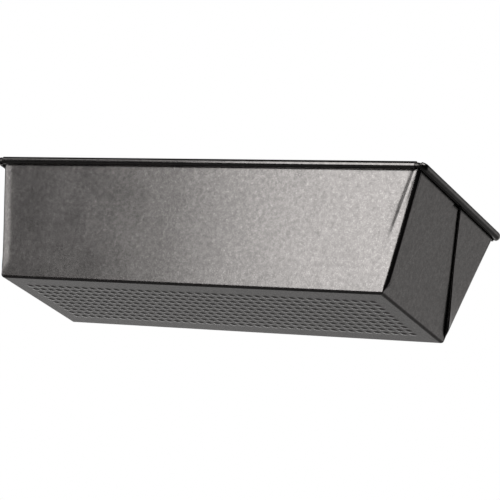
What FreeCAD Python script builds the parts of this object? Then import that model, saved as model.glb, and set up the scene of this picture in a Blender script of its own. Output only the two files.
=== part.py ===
import FreeCAD, Part
import math
import os

# Loaf pan bent from one sheet-steel blank, with its rim rolled round a steel wire.
# The frame's origin is the middle of the base on the table, X runs along the pan and Z is up.
# The blank is divided at its bends, so that each wall, fold and roll is a solid of its own.
# All sizes are in millimetres.

# Driving dimensions
PAN_HEIGHT = 75.0
RIM_LENGTH = 301.6
RIM_WIDTH = 112.0
BASE_LENGTH = 269.0
BASE_WIDTH = 81.8
SHEET = 0.6
WIRE_DIAMETER = 3.3
WIRE_CLEARANCE = 0.05
BASE_BEND_RADIUS = 2.0
CORNER_BEND_RADIUS = 3.0
WIRE_CORNER_RADIUS = 4.0
ROLL_SWEEP_ANGLE = 290.0
ROLL_CORNER_WRAP = 50.0

# Base pattern: a square grid of round bumps pressed outwards
BUMP_COLUMNS = 42
BUMP_ROWS = 10
BUMP_PITCH = 5.87
BUMP_HEIGHT = 0.35
BUMP_FOOT_RADIUS = 2.0
BUMP_TOP_RADIUS = 0.8

# Sizes that follow from them
WIRE_RADIUS = WIRE_DIAMETER / 2
ROLL_BORE_RADIUS = WIRE_RADIUS + WIRE_CLEARANCE
ROLL_RADIUS = ROLL_BORE_RADIUS + SHEET
ROLL_HEIGHT = PAN_HEIGHT - ROLL_RADIUS
WIRE_HALF_LENGTH = RIM_LENGTH / 2 - ROLL_RADIUS
WIRE_HALF_WIDTH = RIM_WIDTH / 2 - ROLL_RADIUS
FOLD_THICKNESS = 2 * SHEET
FLOOR_Z = BUMP_HEIGHT
BEND_TOP_Z = FLOOR_Z + BASE_BEND_RADIUS


def wall_lean(half_rim, half_base):
    """Angle between a wall and the vertical, when the wall's outer face touches the bore of the roll."""
    run = half_rim - half_base
    rise = ROLL_HEIGHT - FLOOR_Z
    return math.acos(ROLL_BORE_RADIUS / math.hypot(run, rise)) - math.atan2(rise, run)


SIDE_LEAN = wall_lean(WIRE_HALF_WIDTH, BASE_WIDTH / 2)
END_LEAN = wall_lean(WIRE_HALF_LENGTH, BASE_LENGTH / 2)

# Limits of the blocks that walls are cut from, clear of the pan on every side
ABOVE = PAN_HEIGHT + 10.0
BELOW = -5.0
FAR = RIM_LENGTH


def vec(x, y, z):
    return FreeCAD.Vector(x, y, z)


def half_size(half_base, lean, inset, z):
    """Half the pan's size at a height, measured to a wall face that lies inset inside the outer one."""
    return half_base + (z - FLOOR_Z) * math.tan(lean) - inset / math.cos(lean)


def side_y(inset, z):
    return half_size(BASE_WIDTH / 2, SIDE_LEAN, inset, z)


def end_x(inset, z):
    return half_size(BASE_LENGTH / 2, END_LEAN, inset, z)


def bend_tangent(lean, radius):
    return radius * math.tan((math.pi / 2 - lean) / 2)


def trough_face(place, half_at, lean, inset, floor_inset, top_z):
    """Section of the pan: a flat floor, a bend at each edge and two leaning walls, closed at top_z."""
    floor = FLOOR_Z + floor_inset
    radius = BASE_BEND_RADIUS - floor_inset
    corner = half_at(inset, floor)
    tangent = bend_tangent(lean, radius)
    flat = corner - tangent
    wall_u = corner + tangent * math.sin(lean)
    wall_z = floor + tangent * math.cos(lean)
    half_turn = (math.pi / 2 - lean) / 2
    mid_u = flat + radius * math.sin(half_turn)
    mid_z = floor + radius - radius * math.cos(half_turn)
    top_u = half_at(inset, top_z)
    edges = [
        Part.LineSegment(place(-flat, floor), place(flat, floor)).toShape(),
        Part.Arc(place(flat, floor), place(mid_u, mid_z), place(wall_u, wall_z)).toShape(),
        Part.LineSegment(place(wall_u, wall_z), place(top_u, top_z)).toShape(),
        Part.LineSegment(place(top_u, top_z), place(-top_u, top_z)).toShape(),
        Part.LineSegment(place(-top_u, top_z), place(-wall_u, wall_z)).toShape(),
        Part.Arc(place(-wall_u, wall_z), place(-mid_u, mid_z), place(-flat, floor)).toShape(),
    ]
    return Part.Face(Part.Wire(edges))


def side_trough(inset, floor_inset, top_z=ABOVE):
    face = trough_face(lambda u, z: vec(-FAR, u, z), side_y, SIDE_LEAN, inset, floor_inset, top_z)
    return face.extrude(vec(2 * FAR, 0, 0))


def end_trough(inset, floor_inset, top_z=ABOVE):
    face = trough_face(lambda u, z: vec(u, -FAR, z), end_x, END_LEAN, inset, floor_inset, top_z)
    return face.extrude(vec(0, 2 * FAR, 0))


def prism_along_x(outline, x0, x1):
    """Prism along X whose outline is given as (y, z) points."""
    points = [vec(x0, y, z) for y, z in outline]
    return Part.Face(Part.makePolygon(points + points[:1])).extrude(vec(x1 - x0, 0, 0))


def prism_along_y(outline, y0, y1):
    """Prism along Y whose outline is given as (x, z) points."""
    points = [vec(x, y0, z) for x, z in outline]
    return Part.Face(Part.makePolygon(points + points[:1])).extrude(vec(0, y1 - y0, 0))


def wall_outline(half_at, inset):
    """Outline between two facing walls, open past floor and rim."""
    low = half_at(inset, BELOW)
    high = half_at(inset, ABOVE)
    return [(-low, BELOW), (low, BELOW), (high, ABOVE), (-high, ABOVE)]


def tapered_block(inset, corner_radius):
    """Block with the pan's four leaning walls and rounded upright corners."""
    block = prism_along_x(wall_outline(side_y, inset), -FAR, FAR)
    block = block.common(prism_along_y(wall_outline(end_x, inset), -FAR, FAR))
    upright = [e for e in block.Edges if abs(e.Vertexes[0].Z - e.Vertexes[-1].Z) > 1.0]
    return block.makeFillet(corner_radius, upright)


def below_rim(shape):
    return shape.common(Part.makeBox(2 * FAR, 2 * FAR, ROLL_HEIGHT - BELOW, vec(-FAR, -FAR, BELOW)))


def mirrored_y(shape):
    return shape.mirror(vec(0, 0, 0), vec(0, 1, 0))


def mirrored_x(shape):
    return shape.mirror(vec(0, 0, 0), vec(1, 0, 0))


# Base: the flat floor of the blank between the bends, with its bumps

def cone_side(x, y, z_low):
    """Leaning side of a bump whose flat top lies at z_low."""
    cone = Part.makeCone(BUMP_TOP_RADIUS, BUMP_FOOT_RADIUS, BUMP_HEIGHT, vec(x, y, z_low))
    return [f for f in cone.Faces if isinstance(f.Surface, Part.Cone)][0]


def disc_edge(x, y, z, radius):
    return Part.Wire(Part.Circle(vec(x, y, z), vec(0, 0, 1), radius).toShape())


def rectangle(half_x, half_y, z):
    turns = ((-1, -1), (1, -1), (1, 1), (-1, 1), (-1, -1))
    return Part.makePolygon([vec(side * half_x, end * half_y, z) for side, end in turns])


def bumped_sheet(outline, z_flat, centres):
    """Faces of one side of the base: the flat with round holes, and a bump filling each hole."""
    holes = [disc_edge(x, y, z_flat, BUMP_FOOT_RADIUS) for x, y in centres]
    faces = [Part.makeFace([outline] + holes, "Part::FaceMakerBullseye")]
    z_top = z_flat - BUMP_HEIGHT
    for x, y in centres:
        faces.append(cone_side(x, y, z_top))
        faces.append(Part.Face(disc_edge(x, y, z_top, BUMP_TOP_RADIUS)))
    return faces


def bump_centres():
    first_x = -(BUMP_COLUMNS - 1) / 2 * BUMP_PITCH
    first_y = -(BUMP_ROWS - 1) / 2 * BUMP_PITCH
    centres = []
    for column in range(BUMP_COLUMNS):
        for row in range(BUMP_ROWS):
            centres.append((first_x + column * BUMP_PITCH, first_y + row * BUMP_PITCH))
    return centres


FLAT_HALF_LENGTH = end_x(FOLD_THICKNESS, FLOOR_Z) - bend_tangent(END_LEAN, BASE_BEND_RADIUS)
FLAT_HALF_WIDTH = side_y(0, FLOOR_Z) - bend_tangent(SIDE_LEAN, BASE_BEND_RADIUS)


def base_panel():
    centres = bump_centres()
    faces = []
    for z in (FLOOR_Z, FLOOR_Z + SHEET):
        faces += bumped_sheet(rectangle(FLAT_HALF_LENGTH, FLAT_HALF_WIDTH, z), z, centres)
    faces += rectangle(FLAT_HALF_LENGTH, FLAT_HALF_WIDTH, FLOOR_Z).extrude(vec(0, 0, SHEET)).Faces
    shell = Part.makeShell(faces)
    shell.sewShape()
    return Part.makeSolid(shell)


# Long side walls, each with its base bend and with the bends that turn it round the pan's corners

def outer_skin():
    """One sheet thickness of the pan's outer surface, with rounded corners and bends at the floor."""
    outside = tapered_block(0, CORNER_BEND_RADIUS)
    outside = outside.common(side_trough(0, 0)).common(end_trough(0, 0))
    inside = tapered_block(SHEET, CORNER_BEND_RADIUS - SHEET)
    inside = inside.common(side_trough(SHEET, SHEET)).common(end_trough(SHEET, SHEET))
    return below_rim(outside.cut(inside))


def rear_side_panel(skin):
    top_y = side_y(CORNER_BEND_RADIUS, ABOVE)
    bend_y = side_y(CORNER_BEND_RADIUS, BEND_TOP_Z)
    outline = [(FLAT_HALF_WIDTH, BELOW), (FLAT_HALF_WIDTH, BEND_TOP_Z), (bend_y, BEND_TOP_Z),
               (top_y, ABOVE), (FAR, ABOVE), (FAR, BELOW)]
    return skin.common(prism_along_x(outline, -FAR, FAR))


# End walls: the inner sheet of each end, with its base bend.
# Each reaches to HEM_INSET inside the side wall, where the corner's bend begins.

HEM_INSET = 1.6


def right_end_panel():
    sheet = end_trough(FOLD_THICKNESS, 0).cut(end_trough(FOLD_THICKNESS + SHEET, SHEET))
    top_y = side_y(HEM_INSET, ROLL_HEIGHT)
    bend_y = side_y(HEM_INSET, BEND_TOP_Z)
    outline = [(FLAT_HALF_WIDTH, BELOW), (FLAT_HALF_WIDTH, BEND_TOP_Z), (bend_y, BEND_TOP_Z),
               (top_y, ROLL_HEIGHT), (-top_y, ROLL_HEIGHT), (-bend_y, BEND_TOP_Z),
               (-FLAT_HALF_WIDTH, BEND_TOP_Z), (-FLAT_HALF_WIDTH, BELOW)]
    return sheet.common(prism_along_x(outline, FLAT_HALF_LENGTH, FAR))


# Corner folds: the blank's corner is doubled over and laid flat on the outside of the end wall

FOLD_TIP_Z = FLOOR_Z + 7.0
FOLD_EDGE_RADIUS = 0.5
FOLD_TOP_Y = 0.2


def fold_slope():
    """How far the fold's edge moves towards the end's middle for each unit of height."""
    end_slant = math.atan(math.tan(SIDE_LEAN) * math.cos(END_LEAN))
    side_slant = math.atan(math.tan(END_LEAN) * math.cos(SIDE_LEAN))
    spare_angle = math.pi / 2 - end_slant - side_slant
    from_slope_line = spare_angle / 2 - end_slant
    return math.tan(from_slope_line) / math.cos(END_LEAN)


FOLD_TIP_Y = BASE_WIDTH / 2 - fold_slope() * (FOLD_TIP_Z - FLOOR_Z)


def fold_layer(inner_inset, outer_inset, corner_inset):
    """One layer of the fold between two planes parallel to the end wall."""
    near_middle = [(FOLD_TIP_Y, FOLD_TIP_Z), (FOLD_TOP_Y, ROLL_HEIGHT)]
    near_corner = [(side_y(corner_inset, z), z) for z in (ROLL_HEIGHT, FOLD_TIP_Z)]
    prism = prism_along_x(near_middle + near_corner, BASE_LENGTH / 4, FAR)
    slab = end_trough(outer_inset, 0).cut(end_trough(inner_inset, 0))
    return prism.common(slab)


def crease_ends(inset):
    """Tip and top of the fold's edge, on the plane that lies inset inside the outer one."""
    tip = vec(end_x(inset, FOLD_TIP_Z), FOLD_TIP_Y, FOLD_TIP_Z)
    top = vec(end_x(inset, ROLL_HEIGHT), FOLD_TOP_Y, ROLL_HEIGHT)
    return tip, top


def touches(edge, point):
    tolerance = SHEET / 50
    return any(vertex.Point.isEqual(point, tolerance) for vertex in edge.Vertexes)


def rear_right_corner_fold():
    outer = fold_layer(SHEET, 0, CORNER_BEND_RADIUS)
    inner = fold_layer(FOLD_THICKNESS, SHEET, HEM_INSET)
    fold = outer.fuse(inner).removeSplitter()
    creases = []
    for inset in (0, FOLD_THICKNESS):
        ends = crease_ends(inset)
        creases += [edge for edge in fold.Edges if all(touches(edge, end) for end in ends)]
    return fold.makeFillet(FOLD_EDGE_RADIUS, creases)


# Rim rolls: the top of each wall turned outwards round the rim wire.
# Angles in a roll's section are in degrees, turned up from the outward direction.

TOP_ANGLE = 90.0


def round_point(place, centre, radius, angle):
    turn = math.radians(angle)
    return place(centre + radius * math.cos(turn), ROLL_HEIGHT + radius * math.sin(turn))


def arc_edge(place, centre, radius, start, stop):
    points = [round_point(place, centre, radius, angle) for angle in (start, (start + stop) / 2, stop)]
    return Part.Arc(*points).toShape()


def rolled_face(place, radius, start, stop, over_wall, over_wire):
    """One face of the rolled sheet, flat on top where the wall stands back from the wire."""
    if over_wall == over_wire:
        return [arc_edge(place, over_wire, radius, start, stop)]
    flat_top = [round_point(place, centre, radius, TOP_ANGLE) for centre in (over_wall, over_wire)]
    return [
        arc_edge(place, over_wall, radius, start, TOP_ANGLE),
        Part.LineSegment(*flat_top).toShape(),
        arc_edge(place, over_wire, radius, TOP_ANGLE, stop),
    ]


def roll_section(place, half_at, lean, wire_half, packing):
    """Section of a roll: a short stretch of wall, then the sheet's turn over and round the wire."""
    start = 180.0 - math.degrees(lean)
    stop = start - ROLL_SWEEP_ANGLE
    over_wall = wire_half - packing / math.cos(lean)
    feet = [place(half_at(packing + depth, ROLL_HEIGHT), ROLL_HEIGHT) for depth in (SHEET, 0)]
    radii = (ROLL_RADIUS, ROLL_BORE_RADIUS)
    edges = [Part.LineSegment(*feet).toShape()]
    for radius, foot in zip(radii, feet):
        edges.append(Part.LineSegment(foot, round_point(place, over_wall, radius, start)).toShape())
        edges += rolled_face(place, radius, start, stop, over_wall, wire_half)
    lip = [round_point(place, wire_half, radius, stop) for radius in radii]
    edges.append(Part.LineSegment(*lip).toShape())
    return Part.Face(Part.Wire(Part.__sortEdges__(edges)))


ROLL_HALF_LENGTH = WIRE_HALF_LENGTH - WIRE_CORNER_RADIUS
ROLL_HALF_WIDTH = WIRE_HALF_WIDTH - WIRE_CORNER_RADIUS


def rear_rim_roll():
    face = roll_section(lambda u, z: vec(-ROLL_HALF_LENGTH, u, z), side_y, SIDE_LEAN, WIRE_HALF_WIDTH, 0)
    return face.extrude(vec(2 * ROLL_HALF_LENGTH, 0, 0))


def right_rim_roll():
    def section(y):
        return roll_section(lambda u, z: vec(u, y, z), end_x, END_LEAN, WIRE_HALF_LENGTH, FOLD_THICKNESS)
    straight = section(-ROLL_HALF_WIDTH).extrude(vec(0, 2 * ROLL_HALF_WIDTH, 0))
    rear_axis = vec(ROLL_HALF_LENGTH, ROLL_HALF_WIDTH, 0)
    front_axis = vec(ROLL_HALF_LENGTH, -ROLL_HALF_WIDTH, 0)
    rear = section(ROLL_HALF_WIDTH).revolve(rear_axis, vec(0, 0, 1), ROLL_CORNER_WRAP)
    front = section(-ROLL_HALF_WIDTH).revolve(front_axis, vec(0, 0, 1), -ROLL_CORNER_WRAP)
    return straight.fuse([rear, front]).removeSplitter()


# Rim wire: one round steel wire bent to a rectangle inside the rolls

def rim_wire():
    pieces = []
    for sign in (-1, 1):
        side_start = vec(-ROLL_HALF_LENGTH, sign * WIRE_HALF_WIDTH, ROLL_HEIGHT)
        end_start = vec(sign * WIRE_HALF_LENGTH, -ROLL_HALF_WIDTH, ROLL_HEIGHT)
        pieces.append(Part.makeCylinder(WIRE_RADIUS, 2 * ROLL_HALF_LENGTH, side_start, vec(1, 0, 0)))
        pieces.append(Part.makeCylinder(WIRE_RADIUS, 2 * ROLL_HALF_WIDTH, end_start, vec(0, 1, 0)))
    bend = Part.makeTorus(WIRE_CORNER_RADIUS, WIRE_RADIUS, vec(0, 0, 0), vec(0, 0, 1), -180, 180, 90)
    bend.translate(vec(ROLL_HALF_LENGTH, ROLL_HALF_WIDTH, ROLL_HEIGHT))
    for corner in (bend, mirrored_y(bend)):
        pieces += [corner, mirrored_x(corner)]
    return pieces[0].fuse(pieces[1:]).removeSplitter()


def build_parts():
    rear_side = rear_side_panel(outer_skin())
    right_end = right_end_panel()
    rear_right_fold = rear_right_corner_fold()
    rear_left_fold = mirrored_x(rear_right_fold)
    rear_roll = rear_rim_roll()
    right_roll = right_rim_roll()
    return {
        "base_panel": base_panel(),
        "front_side_panel": mirrored_y(rear_side),
        "rear_side_panel": rear_side,
        "left_end_panel": mirrored_x(right_end),
        "right_end_panel": right_end,
        "front_left_corner_fold": mirrored_y(rear_left_fold),
        "front_right_corner_fold": mirrored_y(rear_right_fold),
        "rear_left_corner_fold": rear_left_fold,
        "rear_right_corner_fold": rear_right_fold,
        "front_rim_roll": mirrored_y(rear_roll),
        "rear_rim_roll": rear_roll,
        "left_rim_roll": mirrored_x(right_roll),
        "right_rim_roll": right_roll,
        "rim_wire": rim_wire(),
    }


os.makedirs("parts", exist_ok=True)
for node, shape in build_parts().items():
    shape.exportStep("parts/" + node + ".step")
    print(node, "valid" if shape.isValid() else "NOT VALID", round(shape.Volume), "mm3")
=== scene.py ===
import math

import bmesh
import bpy
import numpy as np
from mathutils import Matrix, Vector


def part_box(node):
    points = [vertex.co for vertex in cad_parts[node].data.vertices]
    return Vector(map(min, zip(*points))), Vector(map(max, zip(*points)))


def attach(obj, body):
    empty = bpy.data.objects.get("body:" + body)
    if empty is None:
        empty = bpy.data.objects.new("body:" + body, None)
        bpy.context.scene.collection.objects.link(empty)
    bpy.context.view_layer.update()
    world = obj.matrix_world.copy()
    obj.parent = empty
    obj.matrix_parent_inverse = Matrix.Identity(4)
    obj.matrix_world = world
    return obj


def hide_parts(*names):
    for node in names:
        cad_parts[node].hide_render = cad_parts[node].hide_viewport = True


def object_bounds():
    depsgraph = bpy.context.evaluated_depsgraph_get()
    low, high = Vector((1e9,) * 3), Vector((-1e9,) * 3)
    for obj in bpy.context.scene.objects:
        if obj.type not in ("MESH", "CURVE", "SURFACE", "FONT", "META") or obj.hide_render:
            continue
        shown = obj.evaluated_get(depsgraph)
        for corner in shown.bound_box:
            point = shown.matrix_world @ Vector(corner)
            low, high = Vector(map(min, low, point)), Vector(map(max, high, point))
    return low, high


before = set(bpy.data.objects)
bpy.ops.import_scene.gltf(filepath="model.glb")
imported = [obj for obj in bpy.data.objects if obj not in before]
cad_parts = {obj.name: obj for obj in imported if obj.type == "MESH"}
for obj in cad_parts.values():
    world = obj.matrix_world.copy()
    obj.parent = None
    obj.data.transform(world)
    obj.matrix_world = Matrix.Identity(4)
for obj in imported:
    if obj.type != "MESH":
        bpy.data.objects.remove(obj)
cad_low, cad_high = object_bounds()


# The floor: the blank's flat middle, pressed with a square grid of round bumps that stand out below.
# The pan rests on the bumps' flat tops; the same bumps are dents on the inside.
# The whole blank is sprayed with a dark metallic release coat, baked to a satin film with fine flecks.

MM = 0.001
SHEET = 0.6 * MM
BUMP_COLUMNS = 42
BUMP_ROWS = 10
BUMP_PITCH = 5.87 * MM
CELL_STEPS = 3
BUMP_SIDES = 4 * CELL_STEPS
BUMP_RINGS = ((2.80, 0.0), (2.35, 0.10), (1.90, 0.35), (1.45, 0.65), (1.00, 0.90), (0.55, 1.0))
WELD_REACH = 0.01 * MM
CUT_EDGE_ANGLE = math.radians(60)
GRAIN_DEPTH = 0.02 * MM
COAT_COLOUR = (0.25, 0.238, 0.232)
base_low, base_high = (np.array(corner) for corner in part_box("base_panel"))
flat_x, flat_y = base_high[0], base_high[1]
floor_z = base_high[2] - SHEET
bump_height = floor_z - base_low[2]


def add_node(tree, kind, **settings):
    """New node of a node tree, with its settings."""
    node = tree.nodes.new(kind)
    for key, value in settings.items():
        setattr(node, key, value)
    return node


def make_coat_group():
    """Shader node group of the sprayed coat: its colour, roughness and normal over the surface."""
    tree = bpy.data.node_groups.new("sprayed_coat", "ShaderNodeTree")
    inputs = (("Coat", "NodeSocketColor"), ("Fleck", "NodeSocketColor"),
              ("Roughness", "NodeSocketFloat"), ("Mottle", "NodeSocketFloat"),
              ("Grain", "NodeSocketFloat"))
    for name, kind in inputs:
        tree.interface.new_socket(name=name, in_out="INPUT", socket_type=kind)
    for name, kind in (("Colour", "NodeSocketColor"), ("Roughness", "NodeSocketFloat"),
                       ("Normal", "NodeSocketVector")):
        tree.interface.new_socket(name=name, in_out="OUTPUT", socket_type=kind)
    given = add_node(tree, "NodeGroupInput")
    result = add_node(tree, "NodeGroupOutput")
    place = add_node(tree, "ShaderNodeTexCoord")
    link = tree.links.new

    def noise(scale, detail, roughness):
        node = add_node(tree, "ShaderNodeTexNoise")
        node.inputs["Scale"].default_value = scale
        node.inputs["Detail"].default_value = detail
        node.inputs["Roughness"].default_value = roughness
        link(place.outputs["Object"], node.inputs["Vector"])
        return node

    cloud = noise(scale=45.0, detail=3.0, roughness=0.6)
    mottle = noise(scale=420.0, detail=3.0, roughness=0.7)
    grain = noise(scale=1500.0, detail=2.0, roughness=0.6)

    fleck_mask = add_node(tree, "ShaderNodeMapRange")
    fleck_mask.inputs["From Min"].default_value = 0.52
    fleck_mask.inputs["From Max"].default_value = 0.72
    link(grain.outputs["Fac"], fleck_mask.inputs["Value"])
    colour = add_node(tree, "ShaderNodeMix", data_type="RGBA")
    link(fleck_mask.outputs["Result"], colour.inputs["Factor"])
    link(given.outputs["Coat"], colour.inputs["A"])
    link(given.outputs["Fleck"], colour.inputs["B"])

    shade = add_node(tree, "ShaderNodeMapRange")
    shade.inputs["From Min"].default_value = 0.3
    shade.inputs["From Max"].default_value = 0.7
    shade.inputs["To Min"].default_value = 0.80
    shade.inputs["To Max"].default_value = 1.20
    link(mottle.outputs["Fac"], shade.inputs["Value"])
    tint = add_node(tree, "ShaderNodeVectorMath", operation="SCALE")
    link(colour.outputs["Result"], tint.inputs[0])
    link(shade.outputs["Result"], tint.inputs["Scale"])
    link(tint.outputs["Vector"], result.inputs["Colour"])

    spread = add_node(tree, "ShaderNodeMath", operation="SUBTRACT")
    link(cloud.outputs["Fac"], spread.inputs[0])
    spread.inputs[1].default_value = 0.5
    mottled = add_node(tree, "ShaderNodeMath", operation="MULTIPLY_ADD")
    link(spread.outputs["Value"], mottled.inputs[0])
    link(given.outputs["Mottle"], mottled.inputs[1])
    link(given.outputs["Roughness"], mottled.inputs[2])
    link(mottled.outputs["Value"], result.inputs["Roughness"])

    height = add_node(tree, "ShaderNodeMath", operation="ADD")
    link(mottle.outputs["Fac"], height.inputs[0])
    link(grain.outputs["Fac"], height.inputs[1])
    bump = add_node(tree, "ShaderNodeBump")
    bump.inputs["Distance"].default_value = GRAIN_DEPTH
    link(given.outputs["Grain"], bump.inputs["Strength"])
    link(height.outputs["Value"], bump.inputs["Height"])
    link(bump.outputs["Normal"], result.inputs["Normal"])
    return tree


coat_group = make_coat_group()


def coated_material(name, coat, fleck, roughness, mottle, grain):
    """Metallic material that takes its colour, roughness and normal from the coat group."""
    material = bpy.data.materials.new(name)
    material.use_nodes = True
    tree = material.node_tree
    shader = tree.nodes["Principled BSDF"]
    shader.inputs["Metallic"].default_value = 1.0
    group = add_node(tree, "ShaderNodeGroup", node_tree=coat_group)
    group.inputs["Coat"].default_value = (*coat, 1.0)
    group.inputs["Fleck"].default_value = (*fleck, 1.0)
    group.inputs["Roughness"].default_value = roughness
    group.inputs["Mottle"].default_value = mottle
    group.inputs["Grain"].default_value = grain
    tree.links.new(group.outputs["Colour"], shader.inputs["Base Color"])
    tree.links.new(group.outputs["Roughness"], shader.inputs["Roughness"])
    tree.links.new(group.outputs["Normal"], shader.inputs["Normal"])
    return material


satin_coat = coated_material("satin_coat", COAT_COLOUR, fleck=(0.36, 0.345, 0.335),
                             roughness=0.235, mottle=0.09, grain=0.5)


def make_bump_cell():
    """One square of the floor, outer and inner face, with a bump in its middle.

    Each ring of BUMP_RINGS is a radius in millimetres and a share of the bump's height.
    """
    cell = bmesh.new()
    half = BUMP_PITCH / 2
    for face_z, outward in ((floor_z, True), (floor_z + SHEET, False)):
        square = []
        for side in range(4):
            turn = Matrix.Rotation(side * math.pi / 2, 3, "Z")
            for step in range(CELL_STEPS):
                corner = Vector((half, -half + step * BUMP_PITCH / CELL_STEPS, 0))
                square.append(turn @ corner)
        rings = [[cell.verts.new((p.x, p.y, face_z)) for p in square]]
        for radius, share in BUMP_RINGS:
            ring = []
            for k in range(BUMP_SIDES):
                angle = -math.pi / 4 + 2 * math.pi * k / BUMP_SIDES
                x = radius * MM * math.cos(angle)
                y = radius * MM * math.sin(angle)
                ring.append(cell.verts.new((x, y, face_z - share * bump_height)))
            rings.append(ring)
        for ring, inner in zip(rings, rings[1:]):
            for k in range(BUMP_SIDES):
                n = (k + 1) % BUMP_SIDES
                quad = (ring[k], inner[k], inner[n], ring[n])
                cell.faces.new(quad if outward else quad[::-1])
        cell.faces.new(rings[-1][::-1] if outward else rings[-1])
    mesh = bpy.data.meshes.new("bump_cell")
    cell.to_mesh(mesh)
    cell.free()
    for polygon in mesh.polygons:
        polygon.use_smooth = True
    return bpy.data.objects.new("bump_cell", mesh)


def make_bump_field_tree():
    """Node tree that lays the bump cell out on a grid and welds the squares into one sheet."""
    tree = bpy.data.node_groups.new("bump_field", "GeometryNodeTree")
    for name, kind in (("Cell", "NodeSocketObject"), ("Columns", "NodeSocketInt"),
                       ("Rows", "NodeSocketInt"), ("Pitch", "NodeSocketFloat")):
        tree.interface.new_socket(name=name, in_out="INPUT", socket_type=kind)
    tree.interface.new_socket(name="Geometry", in_out="OUTPUT", socket_type="NodeSocketGeometry")
    given = add_node(tree, "NodeGroupInput")
    result = add_node(tree, "NodeGroupOutput")
    link = tree.links.new
    grid = add_node(tree, "GeometryNodeMeshGrid")
    for count, size in (("Columns", "X"), ("Rows", "Y")):
        gaps = add_node(tree, "ShaderNodeMath", operation="SUBTRACT")
        gaps.inputs[1].default_value = 1.0
        span = add_node(tree, "ShaderNodeMath", operation="MULTIPLY")
        link(given.outputs[count], gaps.inputs[0])
        link(gaps.outputs["Value"], span.inputs[0])
        link(given.outputs["Pitch"], span.inputs[1])
        link(span.outputs["Value"], grid.inputs["Size " + size])
        link(given.outputs[count], grid.inputs["Vertices " + size])
    source = add_node(tree, "GeometryNodeObjectInfo")
    link(given.outputs["Cell"], source.inputs["Object"])
    place = add_node(tree, "GeometryNodeInstanceOnPoints")
    link(grid.outputs["Mesh"], place.inputs["Points"])
    link(source.outputs["Geometry"], place.inputs["Instance"])
    realize = add_node(tree, "GeometryNodeRealizeInstances")
    link(place.outputs["Instances"], realize.inputs["Geometry"])
    weld = add_node(tree, "GeometryNodeMergeByDistance")
    weld.inputs["Distance"].default_value = WELD_REACH
    link(realize.outputs["Geometry"], weld.inputs["Geometry"])
    link(weld.outputs["Geometry"], result.inputs["Geometry"])
    return tree


def apply_nodes(name, tree, values):
    """Plain mesh made by a node tree, with its inputs set by socket identifier."""
    holder = bpy.data.objects.new(name, bpy.data.meshes.new(name))
    bpy.context.scene.collection.objects.link(holder)
    modifier = holder.modifiers.new(name, "NODES")
    modifier.node_group = tree
    for item in tree.interface.items_tree:
        if item.in_out == "INPUT" and item.name in values:
            modifier[item.identifier] = values[item.name]
    holder.update_tag()
    evaluated = holder.evaluated_get(bpy.context.evaluated_depsgraph_get())
    mesh = bpy.data.meshes.new_from_object(evaluated)
    bpy.data.objects.remove(holder)
    return mesh


def floor_mesh():
    """The bump field with the plain border round it, as one closed sheet."""
    cell = make_bump_cell()
    bpy.context.scene.collection.objects.link(cell)
    field = apply_nodes("bump_field", make_bump_field_tree(), {
        "Cell": cell, "Columns": BUMP_COLUMNS, "Rows": BUMP_ROWS, "Pitch": BUMP_PITCH,
    })
    bpy.data.objects.remove(cell)
    half_x = BUMP_COLUMNS * BUMP_PITCH / 2
    half_y = BUMP_ROWS * BUMP_PITCH / 2
    xs = np.linspace(-half_x, half_x, CELL_STEPS * BUMP_COLUMNS + 1)
    ys = np.linspace(-half_y, half_y, CELL_STEPS * BUMP_ROWS + 1)
    inner = [(x, -half_y) for x in xs[:-1]] + [(half_x, y) for y in ys[:-1]]
    inner += [(x, half_y) for x in xs[:0:-1]] + [(-half_x, y) for y in ys[:0:-1]]
    grow_x, grow_y = flat_x / half_x, flat_y / half_y
    outer = [(x * grow_x, y * grow_y) for x, y in inner]
    sheet = bmesh.new()
    sheet.from_mesh(field)
    rings = []
    for z in (floor_z, floor_z + SHEET):
        rings.append([[sheet.verts.new((x, y, z)) for x, y in ring] for ring in (inner, outer)])
    (low_in, low_out), (high_in, high_out) = rings
    count = len(inner)
    for k in range(count):
        n = (k + 1) % count
        sheet.faces.new((low_in[k], low_in[n], low_out[n], low_out[k]))
        sheet.faces.new((high_in[n], high_in[k], high_out[k], high_out[n]))
        sheet.faces.new((low_out[k], low_out[n], high_out[n], high_out[k]))
    bmesh.ops.remove_doubles(sheet, verts=sheet.verts, dist=WELD_REACH)
    for face in sheet.faces:
        face.smooth = True
    for edge in sheet.edges:
        if edge.calc_face_angle(0.0) > CUT_EDGE_ANGLE:
            edge.smooth = False
    mesh = bpy.data.meshes.new("bumped_floor")
    sheet.to_mesh(mesh)
    sheet.free()
    bpy.data.meshes.remove(field)
    return mesh


def link_piece(name, mesh, material, nodes):
    """Put a mesh on root with its material and slot, in place of the CAD nodes named."""
    piece = bpy.data.objects.new(name, mesh)
    bpy.context.scene.collection.objects.link(piece)
    mesh.materials.append(material)
    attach(piece, "root")
    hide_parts(*nodes)


link_piece("bumped_floor", floor_mesh(), satin_coat, ["base_panel"])


# Long side walls: bent up from the floor, and turned round the pan's upright corners.
# Beside each corner the sheet rolls over gently. At the right it swells first, pushed out by the
# folded layers behind it.

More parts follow.
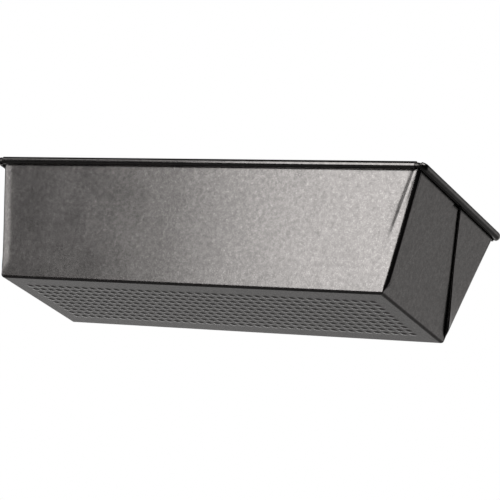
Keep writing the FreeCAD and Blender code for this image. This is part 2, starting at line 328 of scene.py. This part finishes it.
FLOOR_BEND = 2.0 * MM
CORNER_BEND = 3.0 * MM
CORNER_BEND_AT_FLOOR = 0.4 * MM
CORNER_BEND_OPEN = 7 * MM
LEAST_RADIUS = 0.05 * MM
FOLD_START = 1 * MM
FOLD_FULL = 8 * MM
ROLL_OVER_TURN = math.radians(20)
LEFT_ROLL_OVER = 9.0 * MM
RIGHT_ROLL_OVER = 4.2 * MM
RIGHT_ROLL_OVER_LOSS = 1.6 * MM
RIDGE_HEIGHT = 0.42 * MM
RIDGE_OFFSET = 8.0 * MM
RIDGE_WIDTH = 1.8 * MM
WAVE_HEIGHT = 0.05 * MM
CORNER_SHARE = 0.09
wire_low, wire_high = (np.array(corner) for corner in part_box("rim_wire"))
wire_radius = (wire_high[2] - wire_low[2]) / 2
wire_z = (wire_high[2] + wire_low[2]) / 2
wire_x = wire_high[0] - wire_radius
wire_y = wire_high[1] - wire_radius
roll_radius = cad_high[2] - wire_z
bore_radius = roll_radius - SHEET
fold_packing = 2 * SHEET


def wall_lean(flat, wire, packing):
    """Angle of a wall from the upright, where it leaves the floor bend and passes the rim wire."""
    low, high = 0.0, math.radians(30)
    for _ in range(50):
        lean = (low + high) / 2
        foot = flat + FLOOR_BEND * math.tan((math.pi / 2 - lean) / 2)
        gap = (wire - foot) * math.cos(lean) - (wire_z - floor_z) * math.sin(lean)
        if gap > bore_radius + packing:
            low = lean
        else:
            high = lean
    return lean


side_lean = wall_lean(flat_y, wire_y, 0.0)
end_lean = wall_lean(flat_x, wire_x, fold_packing)


def smooth_step(x, low, high):
    """0 below low, 1 above high and a smooth rise between them."""
    t = np.clip((x - low) / (high - low), 0.0, 1.0)
    return t * t * (3 - 2 * t)


def wall_profile(flat, lean, v, depth):
    """Distance from the pan's middle and height, v along the sheet from the floor's edge."""
    turn = math.pi / 2 - lean
    angle = np.clip(v / FLOOR_BEND, 0.0, turn)
    on_floor = np.minimum(v, 0.0)
    on_wall = np.maximum(v - FLOOR_BEND * turn, 0.0)
    radius = FLOOR_BEND - depth
    out = flat + on_floor + radius * np.sin(angle) + on_wall * math.sin(lean)
    up = floor_z + FLOOR_BEND - radius * np.cos(angle) + on_wall * math.cos(lean)
    return out, up


def wall_at_height(flat, lean, z, depth):
    """Distance from the pan's middle to a wall's face at a height."""
    radius = FLOOR_BEND - depth
    turn = math.pi / 2 - lean
    drop = np.clip(floor_z + FLOOR_BEND - z, radius * math.cos(turn), radius)
    bend = flat + np.sqrt(np.maximum(radius ** 2 - drop ** 2, 0.0))
    wall_start = floor_z + FLOOR_BEND - radius * math.cos(turn)
    return bend + np.maximum(z - wall_start, 0.0) * math.tan(lean)


def wall_length(lean, top_z):
    """Length of sheet from the floor's edge up to a height."""
    turn = math.pi / 2 - lean
    wall_start = floor_z + FLOOR_BEND - FLOOR_BEND * math.cos(turn)
    return FLOOR_BEND * turn + (top_z - wall_start) / math.cos(lean)


def corner_radius(z):
    """Radius of the upright corner, tightening to the sharp corner of the floor."""
    opening = smooth_step(z, floor_z, floor_z + CORNER_BEND_OPEN)
    return CORNER_BEND_AT_FLOOR + (CORNER_BEND - CORNER_BEND_AT_FLOOR) * opening


def fold_stand_off(z):
    """How far a folded corner stands off the end wall: nothing at its foot, two sheets above it."""
    return fold_packing * smooth_step(z, floor_z + FOLD_START, floor_z + FOLD_FULL)


def corner_x(z, depth):
    """Distance of an upright corner's outermost face from the middle of the pan."""
    return wall_at_height(flat_x, end_lean, z, depth) + fold_stand_off(z) / math.cos(end_lean)


def wall_rise(z):
    """Height as a share of the wall: 0 at the floor and 1 at the rim wire."""
    return np.clip((z - floor_z) / (wire_z - floor_z), 0.0, 1.0)


def roll_over_angle(z):
    """How far a side wall has already turned where the tight bend of its corner begins."""
    rise = wall_rise(z)
    fullest = 0.6 + 0.4 * np.exp(-((rise - 0.35) / 0.3) ** 2)
    return ROLL_OVER_TURN * fullest * smooth_step(rise, 0.03, 0.2)


def roll_over_length(z, left):
    """Width of the strip beside a corner over which a side wall turns: broad at the left end."""
    return np.where(left, LEFT_ROLL_OVER, RIGHT_ROLL_OVER - RIGHT_ROLL_OVER_LOSS * wall_rise(z))


def roll_over_drop(z, left):
    """How far a side wall has fallen back by the time its tight corner bend begins."""
    return np.tan(roll_over_angle(z)) * roll_over_length(z, left) / 3


def corner_ridge(reach, z, left):
    """Low ridge beside a right-hand corner, nearer the corner the higher it is."""
    rise = wall_rise(z)
    height = np.where(left, 0.0, RIDGE_HEIGHT * smooth_step(rise, 0.3, 0.75))
    crest = RIDGE_OFFSET * (1.0 - rise)
    return height * np.exp(-((reach - crest) / RIDGE_WIDTH) ** 2)


def panel_wave(x, z, phase):
    """Slight unevenness of a flat panel of thin sheet."""
    rise = (z - floor_z) / (wire_z - floor_z)
    calm = np.sin(np.pi * np.clip(rise, 0.0, 1.0))
    wave = np.sin(x / (47 * MM) + phase) + 0.6 * np.sin(x / (23 * MM) - 1.7 * phase + 2.0 * rise)
    return WAVE_HEIGHT * calm * wave


def side_wall(sign):
    """Surface of a long side wall; sign is -1 for the front and 1 for the rear."""
    def point(u, v, depth):
        y, z = wall_profile(flat_y, side_lean, v, depth)
        radius = np.maximum(corner_radius(z) - depth, LEAST_RADIUS)
        first = roll_over_angle(z)
        middle = corner_x(z, depth) - radius
        run = middle + radius * np.sin(first)
        along = np.clip(u, -1.0, 1.0)
        reach = (1 - np.abs(along)) * run
        turn = first + np.clip(np.abs(u) - 1.0, 0.0, 1.01) * (math.pi / 2 - first)
        past = np.abs(u) > 1.0
        left = u < 0
        drop = roll_over_drop(z, left)
        easing = np.clip(1 - reach / roll_over_length(z, left), 0.0, 1.0) ** 3
        swell = corner_ridge(np.where(past, 0.0, reach), z, left)
        swell = swell + panel_wave(along * run, z, 1.3 + sign)
        flat_out = y - drop * easing + swell
        bend_out = y - drop + radius * (np.cos(turn) - np.cos(first)) + swell
        x = np.where(past, np.sign(u) * (middle + radius * np.sin(turn)), along * run)
        return np.stack([x, sign * np.where(past, bend_out, flat_out), z], axis=-1)
    return point


def grid_quads(rows, columns, first, flip):
    """Faces of a grid of points that are numbered from first on."""
    quads = []
    for i in range(rows - 1):
        for j in range(columns - 1):
            a = first + i * columns + j
            quad = (a, a + columns, a + columns + 1, a + 1)
            quads.append(quad[::-1] if flip else quad)
    return quads


def surface_normals(point, u, v, depth, flip):
    """Exact normals of a surface given as a function, so that neighbouring pieces shade as one sheet."""
    step = 1e-5
    along_u = point(u + step, v, depth) - point(u - step, v, depth)
    along_v = point(u, v + step * MM, depth) - point(u, v - step * MM, depth)
    normal = np.cross(along_u / step, along_v / (step * MM))
    normal /= np.maximum(np.linalg.norm(normal, axis=-1, keepdims=True), 1e-12)
    return -normal if flip else normal


def set_normals(mesh, vertex_normals, smooth_faces):
    """Smooth shading on the first faces, flat shading on the cut edges that follow them."""
    mesh.update()
    cut_edges = set()
    for polygon in mesh.polygons[smooth_faces:]:
        cut_edges.update(polygon.edge_keys)
    for edge in mesh.edges:
        edge.use_edge_sharp = edge.key in cut_edges
    loop_normals = []
    for polygon in mesh.polygons:
        polygon.use_smooth = True
        for vertex in polygon.vertices:
            if polygon.index < smooth_faces:
                loop_normals.append(vertex_normals[vertex])
            else:
                loop_normals.append(polygon.normal)
    mesh.normals_split_custom_set([tuple(n) for n in loop_normals])


def sheet_mesh(name, point, us, vs, flip):
    """Closed piece of sheet: its outer face, its inner face and the cut edge all round."""
    v, u = np.meshgrid(vs, us)
    rows, columns = u.shape
    outer = point(u, v, 0.0)
    inner = point(u, v, SHEET)
    count = rows * columns
    faces = grid_quads(rows, columns, 0, flip) + grid_quads(rows, columns, count, not flip)
    smooth_faces = len(faces)
    border = [(0, j) for j in range(columns)]
    border += [(i, columns - 1) for i in range(1, rows)]
    border += [(rows - 1, j) for j in range(columns - 2, -1, -1)]
    border += [(i, 0) for i in range(rows - 2, 0, -1)]
    ring = [i * columns + j for i, j in border]
    for a, b in zip(ring, ring[1:] + ring[:1]):
        quad = (a, b, b + count, a + count)
        faces.append(quad if flip else quad[::-1])
    points = np.concatenate([outer.reshape(-1, 3), inner.reshape(-1, 3)])
    normals = np.concatenate([
        surface_normals(point, u, v, 0.0, flip).reshape(-1, 3),
        -surface_normals(point, u, v, SHEET, flip).reshape(-1, 3),
    ])
    mesh = bpy.data.meshes.new(name)
    mesh.from_pydata([tuple(p) for p in points], [], faces)
    set_normals(mesh, normals, smooth_faces)
    return mesh


side_length = wall_length(side_lean, wire_z)
bend_steps = np.linspace(0.0, FLOOR_BEND * (math.pi / 2 - side_lean), 11)
side_vs = np.concatenate([bend_steps, np.linspace(bend_steps[-1], side_length, 25)[1:]])
turn_steps = np.linspace(1.0, 2.0, 11)
swell_steps = 1 - np.linspace(0.0, CORNER_SHARE, 25)[1:]
middle_steps = np.linspace(CORNER_SHARE - 1, 1 - CORNER_SHARE, 61)[1:-1]
side_us = np.concatenate([-turn_steps[::-1], -swell_steps, middle_steps, swell_steps[::-1], turn_steps])
for name, sign in (("front_side", -1), ("rear_side", 1)):
    wall = sheet_mesh(name + "_wall", side_wall(sign), side_us, side_vs, flip=sign > 0)
    link_piece(name + "_wall", wall, satin_coat, [name + "_panel"])


# End walls: the inner sheet of each end, bent up from the floor between the folded corners.
# Only the triangle between the two folds shows on the outside.

HEM_INSET = 1.6 * MM
HEM_START = 6 * MM
HEM_FULL = 14 * MM
END_BOW = 0.12 * MM
BOW_WIDTH = 18 * MM


def end_wall(sign):
    """Surface of an end wall; sign is -1 for the left end and 1 for the right."""
    def point(u, v, depth):
        x, z = wall_profile(flat_x, end_lean, v, depth)
        side = wall_at_height(flat_y, side_lean, z, 0.0)
        tucked = smooth_step(z, floor_z + HEM_START, floor_z + HEM_FULL)
        inset = corner_radius(z) + (HEM_INSET - corner_radius(z)) * tucked
        half = side - inset - roll_over_drop(z, sign < 0)
        rise = (z - floor_z) / (wire_z - floor_z)
        y = u * half
        upright = np.sin(np.pi * np.clip(rise, 0, 1))
        bow = END_BOW * upright * np.cos(y / BOW_WIDTH) * (1 - u ** 2) ** 2
        return np.stack([sign * (x - bow), y, z], axis=-1)
    return point


end_length = wall_length(end_lean, wire_z)
end_bend = np.linspace(0.0, FLOOR_BEND * (math.pi / 2 - end_lean), 11)
end_vs = np.concatenate([end_bend, np.linspace(end_bend[-1], end_length, 25)[1:]])
for name, sign in (("left_end", -1), ("right_end", 1)):
    wall = sheet_mesh(name + "_wall", end_wall(sign), np.linspace(-1.0, 1.0, 33), end_vs, flip=sign < 0)
    link_piece(name + "_wall", wall, satin_coat, [name + "_panel"])


# Corner folds: the blank's spare corner, doubled over and pressed flat on the outside of the end wall.
# The fold runs from the floor's corner to the middle of the rim, where the roll holds it shut.
# The rear folds spring open a little more than the front ones.

FOLD_FOOT_RISE = 4.4 * MM
FOLD_EDGE_STEPS = 14
FRONT_FOLD_SPRING = 0.15 * MM
REAR_FOLD_SPRING = 0.9 * MM
SPRING_START = 2 * MM
SPRING_FULL = 9 * MM
SPRING_EASES = 8 * MM
SPRING_GONE = 45 * MM
LEAST_STAND_OFF = 0.05 * MM
MIDDLE_CLEARANCE = 0.2 * MM
CORNER_CLEARANCE = 0.1 * MM
FLAT_CLEARANCE = 0.05 * MM


def fold_slope():
    """How far the fold's edge moves towards the end's middle for each unit of height."""
    end_slant = math.atan(math.tan(side_lean) * math.cos(end_lean))
    side_slant = math.atan(math.tan(end_lean) * math.cos(side_lean))
    spare_angle = math.pi / 2 - end_slant - side_slant
    return math.tan(spare_angle / 2 - end_slant) / math.cos(end_lean)


fold_foot_y = flat_y + FLOOR_BEND * math.tan((math.pi / 2 - side_lean) / 2)
fold_foot_z = floor_z + FOLD_FOOT_RISE


def fold_lift(z, sign_y):
    """How much more a fold's edge springs open than its corner does: most just above its foot."""
    fullest = REAR_FOLD_SPRING if sign_y > 0 else FRONT_FOLD_SPRING
    opening = 1 - smooth_step(z, floor_z + SPRING_EASES, floor_z + SPRING_GONE)
    return fullest * opening * smooth_step(z, floor_z + SPRING_START, floor_z + SPRING_FULL)


def fold_surface(sign_x, sign_y):
    """Surface of a fold: u runs over its outer face, round its edge and back over its inner face."""
    def point(u, v, depth):
        z = v
        lift = fold_lift(z, sign_y)
        stand_off = np.maximum(fold_stand_off(z) + lift, LEAST_STAND_OFF)
        edge_radius = stand_off / 2
        corner_y = wall_at_height(flat_y, side_lean, z, 0.0) - roll_over_drop(z, sign_x < 0)
        corner_y = corner_y - corner_radius(z) * np.cos(roll_over_angle(z))
        edge_y = np.maximum(fold_foot_y - fold_slope() * (z - floor_z), MIDDLE_CLEARANCE)
        edge_y = np.minimum(edge_y, corner_y - CORNER_CLEARANCE)
        straight_y = np.minimum(edge_y + edge_radius, corner_y - FLAT_CLEARANCE)
        run = np.clip(u, 0.0, 1.0)
        back = np.clip(u - 2.0, 0.0, 1.0)
        turn = np.clip(u - 1.0, 0.0, 1.0) * math.pi
        y = corner_y + (straight_y - corner_y) * (run - back) - (straight_y - edge_y) * np.sin(turn)
        wall_x = wall_at_height(flat_x, end_lean, z, 0.0)
        off_wall = edge_radius + edge_radius * np.cos(turn) - lift * (1 - run)
        x = wall_x + off_wall / math.cos(end_lean)
        return np.stack([sign_x * x, sign_y * y, z], axis=-1)
    return point


def fold_mesh(name, point, us, vs, flip):
    """Closed plate whose section u goes all the way round, with its ends capped."""
    v, u = np.meshgrid(vs, us)
    rows, columns = u.shape
    faces = grid_quads(rows, columns, 0, flip)
    smooth_faces = len(faces)
    last = (rows - 1) * columns
    for j in range(columns - 1):
        quad = (last + j, j, j + 1, last + j + 1)
        faces.append(quad[::-1] if flip else quad)
    low_cap = [i * columns for i in range(rows)]
    high_cap = [i * columns + columns - 1 for i in range(rows)]
    faces.append(low_cap[::-1] if flip else low_cap)
    faces.append(high_cap if flip else high_cap[::-1])
    mesh = bpy.data.meshes.new(name)
    mesh.from_pydata([tuple(p) for p in point(u, v, 0.0).reshape(-1, 3)], [], faces)
    set_normals(mesh, surface_normals(point, u, v, 0.0, flip).reshape(-1, 3), smooth_faces)
    return mesh


fold_edge_us = np.linspace(1, 2, FOLD_EDGE_STEPS)[1:]
fold_us = np.concatenate([np.linspace(0, 1, 9), fold_edge_us, np.linspace(2, 3, 9)[1:]])
fold_vs = np.linspace(fold_foot_z, wire_z, 41)
for end, sign_x in (("left", -1), ("right", 1)):
    for side, sign_y in (("front", -1), ("rear", 1)):
        name = side + "_" + end + "_corner_fold"
        fold = fold_mesh(name + "_layers", fold_surface(sign_x, sign_y), fold_us, fold_vs,
                         flip=sign_x * sign_y < 0)
        link_piece(name + "_layers", fold, satin_coat, [name])


# Rim rolls: the top of each wall turned outwards, over and round the rim wire.
# The end rolls also close over the tips of the folds and wrap part of the wire's corners.
# The coat lies glossier on them than on the panels.

rim_coat = coated_material("rim_coat", COAT_COLOUR, fleck=(0.30, 0.29, 0.28),
                           roughness=0.15, mottle=0.05, grain=0.3)
ROLL_TURN = math.radians(290)
WIRE_CORNER = 4.0 * MM
CORNER_WRAP = math.radians(50)
WRAP_CLEARANCE = 0.3 * MM
roll_half_x = wire_x - WIRE_CORNER
roll_half_y = wire_y - WIRE_CORNER


def roll_section(lean, packing, v, depth):
    """Offset from the wire and height of a roll's face, v along the sheet from the top of the wall."""
    radius = roll_radius - depth
    shift = packing / math.cos(lean)
    rise = roll_radius * math.sin(lean)
    start = math.pi - lean
    over = roll_radius * (start - math.pi / 2)
    on_wall = np.minimum(v - rise, 0.0)
    first = np.clip(v - rise, 0.0, over) / roll_radius
    across = np.clip(v - rise - over, 0.0, shift)
    second = np.maximum(v - rise - over - shift, 0.0) / roll_radius
    angle = start - first - second
    out = -shift + across + radius * np.cos(angle) + on_wall * math.sin(lean)
    up = wire_z + radius * np.sin(angle) + on_wall * math.cos(lean)
    return out, up


def roll_sheet_length(lean, packing):
    """Length of sheet in a roll, from the top of the wall to the roll's free edge."""
    return roll_radius * math.sin(lean) + roll_radius * ROLL_TURN + packing / math.cos(lean)


def side_roll(sign):
    """Surface of a long side's roll; sign is -1 for the front and 1 for the rear."""
    def point(u, v, depth):
        out, z = roll_section(side_lean, 0.0, v, depth)
        return np.stack([u * roll_half_x, sign * (wire_y + out), z], axis=-1)
    return point


def end_roll(sign):
    """Surface of an end's roll; u beyond 1 and -1 wraps the wire's corners."""
    def point(u, v, depth):
        out, z = roll_section(end_lean, fold_packing, v, depth)
        along = np.clip(u, -1.0, 1.0)
        wrap = np.maximum(np.abs(u) - 1.0, 0.0) * CORNER_WRAP
        reach = np.maximum(WIRE_CORNER + out, WRAP_CLEARANCE)
        x = roll_half_x + np.where(wrap > 0, reach * np.cos(wrap), WIRE_CORNER + out)
        y = along * roll_half_y + np.sign(u) * reach * np.sin(wrap)
        return np.stack([sign * x, y, z], axis=-1)
    return point


side_roll_us = np.linspace(-1, 1, 41)
side_roll_vs = np.linspace(0.0, roll_sheet_length(side_lean, 0.0), 41)
end_roll_vs = np.linspace(0.0, roll_sheet_length(end_lean, fold_packing), 47)
wrap_steps = np.linspace(1.0, 2.0, 9)
end_roll_us = np.concatenate([-wrap_steps[::-1], np.linspace(-1, 1, 13)[1:-1], wrap_steps])
for name, sign in (("front", -1), ("rear", 1)):
    roll = sheet_mesh(name + "_rim_bead", side_roll(sign), side_roll_us, side_roll_vs, flip=sign < 0)
    link_piece(name + "_rim_bead", roll, rim_coat, [name + "_rim_roll"])
for name, sign in (("left", -1), ("right", 1)):
    roll = sheet_mesh(name + "_rim_bead", end_roll(sign), end_roll_us, end_roll_vs, flip=sign > 0)
    link_piece(name + "_rim_bead", roll, rim_coat, [name + "_rim_roll"])


# Rim wire: a round drawn steel wire inside the rolls, seen only at the gaps in the rim's corners.
# It is darkened by the coat and the oven.

dark_wire = coated_material("dark_wire", (0.13, 0.125, 0.12), fleck=(0.2, 0.19, 0.18),
                            roughness=0.35, mottle=0.1, grain=0.2)
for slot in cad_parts["rim_wire"].material_slots:
    slot.material = dark_wire


# Studio: a pale floor far below, a white surround and soft boxes that shape the reflections.
# The surround is dark in front, so that the panels mirror the boxes, and pale behind at mid height.
# The camera sees it as plain white.

FLOOR_DROP = 1.6
FLOOR_SIZE = 30
VIEW_AZIMUTH = 33.53
VIEW_ELEVATION = -17.47
VIEW_ROLL = 13.28
VIEW_DISTANCE = 1.374
VIEW_RIGHT = 12.3 * MM
VIEW_UP = 1.1 * MM
LENS = 163.9


def direction(azimuth, elevation):
    """Unit vector: azimuth from the front towards the right, elevation above the horizon, in degrees."""
    a, e = math.radians(azimuth), math.radians(elevation)
    return Vector((math.sin(a) * math.cos(e), -math.cos(a) * math.cos(e), math.sin(e)))


def soft_box(name, azimuth, elevation, distance, width, height, radiance):
    """Rectangular light that faces the pan's middle; the camera doesn't see it."""
    light = bpy.data.lights.new(name, "AREA")
    light.shape = "RECTANGLE"
    light.size = width
    light.size_y = height
    light.energy = radiance * math.pi * width * height
    lamp = bpy.data.objects.new(name, light)
    towards = direction(azimuth, elevation)
    lamp.location = towards * distance + Vector((0, 0, cad_high[2] / 2))
    lamp.rotation_mode = "QUATERNION"
    lamp.rotation_quaternion = towards.to_track_quat("Z", "Y")
    lamp.visible_camera = False
    bpy.context.scene.collection.objects.link(lamp)


soft_box("front_strip", azimuth=-7.6, elevation=5, distance=1.6, width=1.42, height=1.60, radiance=2.25)
soft_box("left_strip", azimuth=-41, elevation=26, distance=1.7, width=0.40, height=0.75, radiance=0.6)
soft_box("left_fill", azimuth=-63, elevation=0, distance=1.8, width=1.10, height=1.20, radiance=1.05)
soft_box("high_box", azimuth=62, elevation=50, distance=1.8, width=1.2, height=0.9, radiance=2.0)

world = bpy.data.worlds.new("studio_surround")
world.use_nodes = True
bpy.context.scene.world = world
sky = world.node_tree
sky.nodes.clear()
sky_link = sky.links.new
sky_place = add_node(sky, "ShaderNodeTexCoord")
sky_axes = add_node(sky, "ShaderNodeSeparateXYZ")
sky_link(sky_place.outputs["Generated"], sky_axes.inputs["Vector"])
height = add_node(sky, "ShaderNodeMapRange")
height.inputs["From Min"].default_value = -1.0
sky_link(sky_axes.outputs["Z"], height.inputs["Value"])


def surround_ramp(levels):
    """Brightness of one side of the surround, from straight down to straight up."""
    ramp = add_node(sky, "ShaderNodeValToRGB")
    ramp.color_ramp.elements[0].position = 0.0
    ramp.color_ramp.elements[1].position = 1.0
    for position, grey in levels:
        if 0.0 < position < 1.0:
            element = ramp.color_ramp.elements.new(position)
        else:
            element = ramp.color_ramp.elements[-1 if position else 0]
        element.color = (grey, grey, grey, 1)
    sky_link(height.outputs["Result"], ramp.inputs["Fac"])
    return ramp


back_side = surround_ramp(((0.0, 0.07), (0.14, 0.10), (0.26, 0.16), (0.34, 0.27), (0.42, 0.46),
                           (0.5, 1.0), (0.62, 0.80), (0.8, 0.08), (1.0, 0.06)))
front_side = surround_ramp(((0.0, 0.05), (0.12, 0.05), (0.2, 0.03), (0.27, 0.015), (0.8, 0.015),
                            (1.0, 0.06)))
behind = add_node(sky, "ShaderNodeMapRange", interpolation_type="SMOOTHSTEP")
for socket, value in (("From Min", 0.42), ("From Max", 0.75)):
    behind.inputs[socket].default_value = value
sky_link(sky_axes.outputs["Y"], behind.inputs["Value"])
glow = add_node(sky, "ShaderNodeMix", data_type="RGBA")
sky_link(behind.outputs["Result"], glow.inputs["Factor"])
sky_link(front_side.outputs["Color"], glow.inputs["A"])
sky_link(back_side.outputs["Color"], glow.inputs["B"])
across = add_node(sky, "ShaderNodeMapRange")
for socket, value in (("From Min", -0.55), ("From Max", 0.55), ("To Min", 1.0), ("To Max", 0.36)):
    across.inputs[socket].default_value = value
sky_link(sky_axes.outputs["X"], across.inputs["Value"])
lit = add_node(sky, "ShaderNodeBackground")
sky_link(glow.outputs["Result"], lit.inputs["Color"])
sky_link(across.outputs["Result"], lit.inputs["Strength"])
white = add_node(sky, "ShaderNodeBackground")
white.inputs["Color"].default_value = (1, 1, 1, 1)
ray = add_node(sky, "ShaderNodeLightPath")
seen = add_node(sky, "ShaderNodeMixShader")
sky_link(ray.outputs["Is Camera Ray"], seen.inputs["Fac"])
sky_link(lit.outputs["Background"], seen.inputs[1])
sky_link(white.outputs["Background"], seen.inputs[2])
sky_out = add_node(sky, "ShaderNodeOutputWorld")
sky_link(seen.outputs["Shader"], sky_out.inputs["Surface"])

bpy.ops.mesh.primitive_plane_add(size=FLOOR_SIZE, location=(0, 0, cad_low[2] - FLOOR_DROP))
studio_floor = bpy.context.object
studio_floor.name = "studio_floor"
floor_material = bpy.data.materials.new("pale_floor")
floor_material.use_nodes = True
floor_shader = floor_material.node_tree.nodes["Principled BSDF"]
floor_shader.inputs["Base Color"].default_value = (0.8, 0.8, 0.8, 1)
floor_shader.inputs["Roughness"].default_value = 0.9
floor_shader.inputs["Emission Color"].default_value = (1, 1, 1, 1)
floor_shader.inputs["Emission Strength"].default_value = 0.75
studio_floor.data.materials.append(floor_material)
studio_floor.visible_glossy = False
studio_floor.visible_diffuse = False

camera_data = bpy.data.cameras.new("camera")
camera_data.sensor_width = 36.0
camera_data.lens = LENS
camera = bpy.data.objects.new("camera", camera_data)
bpy.context.scene.collection.objects.link(camera)
towards_camera = direction(VIEW_AZIMUTH, VIEW_ELEVATION)
aim = Vector((0, 0, cad_high[2] / 2))
right = (-towards_camera).cross(Vector((0, 0, 1))).normalized()
up = right.cross(-towards_camera)
roll = math.radians(VIEW_ROLL)
right_rolled = math.cos(roll) * right + math.sin(roll) * up
up_rolled = -math.sin(roll) * right + math.cos(roll) * up
axes = Matrix((right_rolled, up_rolled, towards_camera)).transposed()
camera.rotation_mode = "QUATERNION"
camera.rotation_quaternion = axes.to_quaternion()
camera.location = aim + towards_camera * VIEW_DISTANCE
camera.location += right_rolled * VIEW_RIGHT + up_rolled * VIEW_UP
camera_data.clip_end = 60.0
bpy.context.scene.camera = camera
bpy.context.scene.view_settings.view_transform = "Standard"
